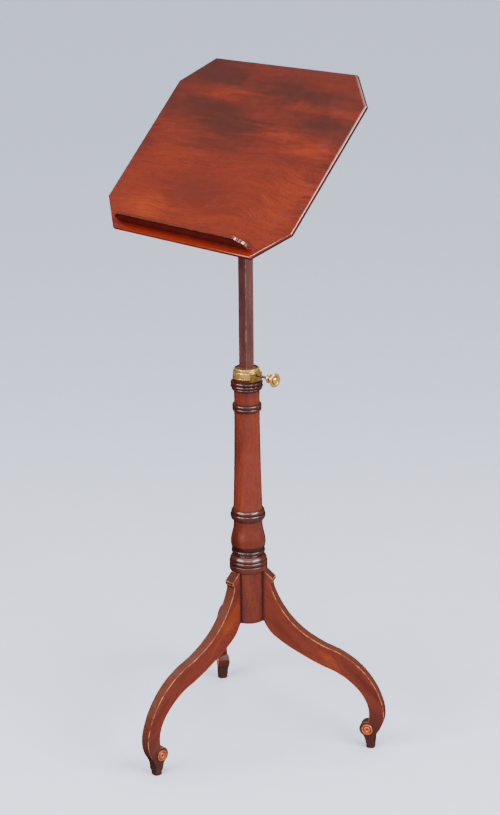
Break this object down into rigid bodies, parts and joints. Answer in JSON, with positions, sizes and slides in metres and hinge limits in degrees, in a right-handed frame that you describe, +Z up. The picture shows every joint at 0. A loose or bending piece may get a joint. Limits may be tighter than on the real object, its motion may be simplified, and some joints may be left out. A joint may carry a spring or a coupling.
{
  "type": "reading stand",
  "caption": "Reading stand: canted tilting board with a book ledge, on a sliding square pole clamped in a turned column with a scrolled tripod base.",
  "frame": {"origin": "on the floor, at the centre of the whole stand's box; the column's axis stands 60.1 mm behind it, at X 0", "axes": "+Z up, the front of the stand and its front leg towards -Y, the thumbscrew towards +X"},
  "size_m": [0.4498, 0.3898, 1.2159],
  "materials": {
    "polished_mahogany": "french polished",
    "turned_mahogany": "french polished",
    "dark_mahogany": "waxed",
    "boxwood": "polished",
    "old_brass": "polished, with patina",
    "iron": "blackened",
    "steel": "dull"
  },
  "bodies": {
    "stand": {"column": "turned_mahogany", "leg_front": "turned_mahogany", "leg_right": "turned_mahogany", "leg_left": "turned_mahogany", "roundel_front_a": "boxwood", "roundel_front_b": "boxwood", "roundel_right_a": "boxwood", "roundel_right_b": "boxwood", "roundel_left_a": "boxwood", "roundel_left_b": "boxwood", "base_plate": "iron", "plate_screw_1": "iron", "plate_screw_2": "iron", "plate_screw_3": "iron", "collar": "old_brass", "collar_pin_back": "old_brass", "collar_pin_left": "old_brass"},
    "pole": {"pole": "dark_mahogany"},
    "board": {"board": "polished_mahogany", "ledge": "polished_mahogany", "ledge_screw_1": "iron", "ledge_screw_2": "iron", "ledge_screw_3": "iron", "bearer_left": "dark_mahogany", "bearer_right": "dark_mahogany", "bearer_screw_left_1": "iron", "bearer_screw_left_2": "iron", "bearer_screw_left_3": "iron", "bearer_screw_right_1": "iron", "bearer_screw_right_2": "iron", "bearer_screw_right_3": "iron", "pivot_bolt": "steel"},
    "pad": {"pressure_pad": "old_brass"},
    "thumbscrew": {"thumbscrew": "old_brass"},
    "washer": {"nut_washer": "old_brass"},
    "wing_nut": {"wing_nut": "old_brass"}
  },
  "joints": [
    {"name": "pole_slide", "type": "slide", "parent": "stand", "child": "pole", "axis": [0, 0, 1], "range_m": [-0.28, 0.07]},
    {"name": "board_tilt", "type": "hinge", "parent": "pole", "child": "board", "pos_m": [0, 0.06008, 1.0575], "axis": [1, 0, 0], "range_deg": [-42, 33]},
    {"name": "pad_travel", "type": "slide", "parent": "stand", "child": "pad", "axis": [1, 0, 0], "range_m": [0, 0.003]},
    {"name": "screw_turn", "type": "hinge", "parent": "pad", "child": "thumbscrew", "pos_m": [0.0745, 0.06008, 0.6962], "axis": [1, 0, 0], "range_deg": [0, 1080.5]},
    {"name": "nut_travel", "type": "slide", "parent": "board", "child": "washer", "axis": [1, 0, 0], "range_m": [0, 0.0025]},
    {"name": "nut_turn", "type": "hinge", "parent": "washer", "child": "wing_nut", "pos_m": [0.03, 0.06008, 1.0575], "axis": [1, 0, 0], "range_deg": [0, 720.5]}
  ],
  "couplings": [
    {"joint": "screw_turn", "follows": "pad_travel", "rad_per_m": 6283.2},
    {"joint": "nut_turn", "follows": "nut_travel", "rad_per_m": 5026.5}
  ]
}
